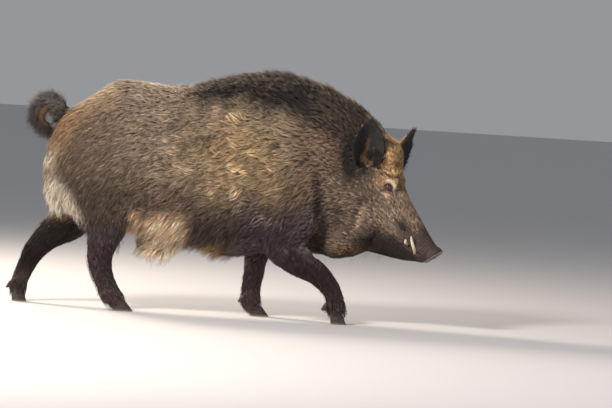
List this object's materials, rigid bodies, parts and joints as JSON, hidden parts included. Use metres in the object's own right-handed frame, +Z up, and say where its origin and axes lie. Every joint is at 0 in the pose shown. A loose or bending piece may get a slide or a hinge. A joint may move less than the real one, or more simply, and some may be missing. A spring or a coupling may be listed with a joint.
{
  "type": "wild boar model",
  "caption": "Life-size still model of a walking wild boar, a big tusked male with a coarse grizzled coat, high maned shoulders, a curled tail and its head held low",
  "frame": {"origin": "On the floor, under the middle of the boar's outline seen from above", "axes": "+Z up, +X the way the boar walks, +Y its left side"},
  "size_m": [1.676, 0.411, 0.9565],
  "materials": {
    "coat": "coarse grizzled grey-brown fur with pale tips",
    "leg_coat": "short dark brown to black fur",
    "ear_skin": "thin dark skin with short fur",
    "snout_skin": "bare damp grey-pink skin",
    "eye": "clear wet dark brown",
    "tusk": "smooth ivory, slightly stained",
    "hoof": "worn dark horn"
  },
  "bodies": {
    "root": {"trunk": "coat", "neck": "coat", "head": "coat", "lower_jaw": "coat", "tail": "coat", "hindleg_left_upper": "coat", "hindleg_right_upper": "coat", "foreleg_left_upper": "leg_coat", "foreleg_right_upper": "leg_coat", "foreleg_left_lower": "leg_coat", "foreleg_right_lower": "leg_coat", "hindleg_left_lower": "leg_coat", "hindleg_right_lower": "leg_coat", "ear_left": "ear_skin", "ear_right": "ear_skin", "snout_disc": "snout_skin", "eye_left": "eye", "eye_right": "eye", "tusk_left": "tusk", "tusk_right": "tusk", "upper_tusk_left": "tusk", "upper_tusk_right": "tusk", "foreleg_left_hoof_outer": "hoof", "foreleg_left_hoof_inner": "hoof", "foreleg_left_dewclaw_outer": "hoof", "foreleg_left_dewclaw_inner": "hoof", "foreleg_right_hoof_outer": "hoof", "foreleg_right_hoof_inner": "hoof", "foreleg_right_dewclaw_outer": "hoof", "foreleg_right_dewclaw_inner": "hoof", "hindleg_left_hoof_outer": "hoof", "hindleg_left_hoof_inner": "hoof", "hindleg_left_dewclaw_outer": "hoof", "hindleg_left_dewclaw_inner": "hoof", "hindleg_right_hoof_outer": "hoof", "hindleg_right_hoof_inner": "hoof", "hindleg_right_dewclaw_outer": "hoof", "hindleg_right_dewclaw_inner": "hoof"}
  },
  "joints": []
}
